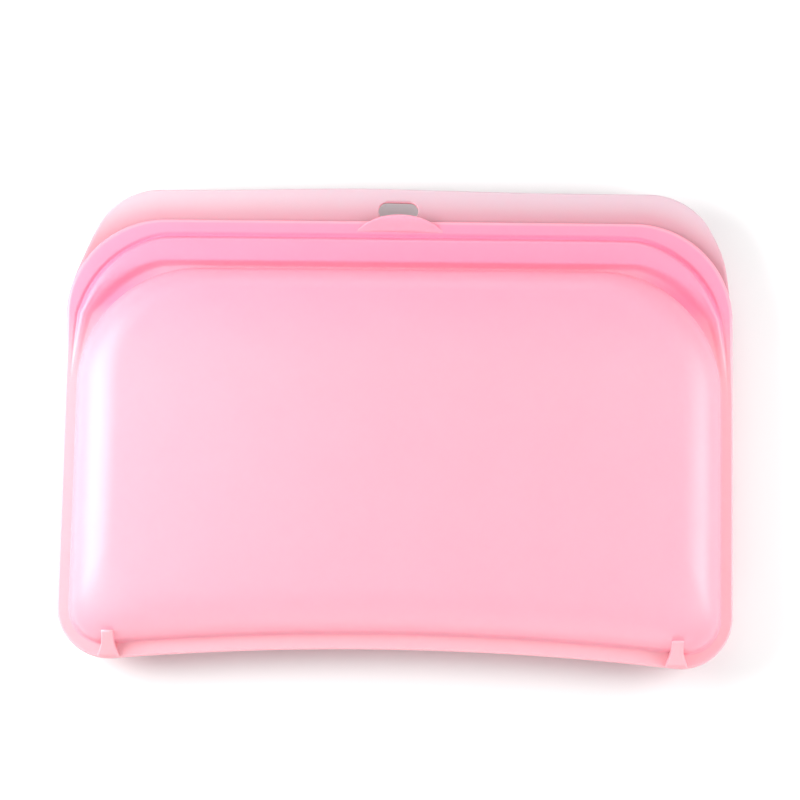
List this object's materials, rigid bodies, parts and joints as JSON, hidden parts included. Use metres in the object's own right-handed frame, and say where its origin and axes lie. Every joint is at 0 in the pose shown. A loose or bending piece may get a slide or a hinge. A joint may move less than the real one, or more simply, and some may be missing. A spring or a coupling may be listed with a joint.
{
  "type": "reusable silicone bag",
  "caption": "Flat reusable silicone food bag with raised pillow walls, pinch-press seal, pull tab and hanging slot",
  "frame": {"origin": "under the middle of the bag, on the plane it rests on when lying on its rear wall", "axes": "+X along the bag's width to its right, +Y from the bottom seam to the mouth, +Z from the rear wall up to the front wall"},
  "size_m": [0.19, 0.1364, 0.0242],
  "materials": {
    "silicone": "translucent matte pink silicone"
  },
  "bodies": {
    "root": {"rear_wall": "silicone", "bottom_seam": "silicone", "side_seam_left": "silicone", "side_seam_right": "silicone", "rear_seal_band": "silicone", "seal_end_left": "silicone", "seal_end_right": "silicone", "foot_rib_left": "silicone", "foot_rib_right": "silicone"},
    "front_half": {"front_wall": "silicone", "front_seal_band": "silicone", "seal_tongue": "silicone", "front_lip": "silicone"},
    "rear_lip_flap": {"rear_lip": "silicone"},
    "pull_tab_flap": {"pull_tab": "silicone"}
  },
  "joints": [
    {"name": "mouth_open", "type": "hinge", "parent": "root", "child": "front_half", "pos_m": [0, -0.06406, 0.016], "axis": [1, 0, 0], "range_deg": [0, 18], "stiffness_Nm_per_rad": 0.05},
    {"name": "rear_lip_flex", "type": "hinge", "parent": "root", "child": "rear_lip_flap", "pos_m": [0, 0.0557, 0.01005], "axis": [1, 0, 0], "range_deg": [-50, 0], "stiffness_Nm_per_rad": 0.05, "springref_deg": 2.86},
    {"name": "pull_tab_flex", "type": "hinge", "parent": "front_half", "child": "pull_tab_flap", "pos_m": [0, 0.0557, 0.01535], "axis": [1, 0, 0], "range_deg": [0, 75], "stiffness_Nm_per_rad": 0.002}
  ]
}
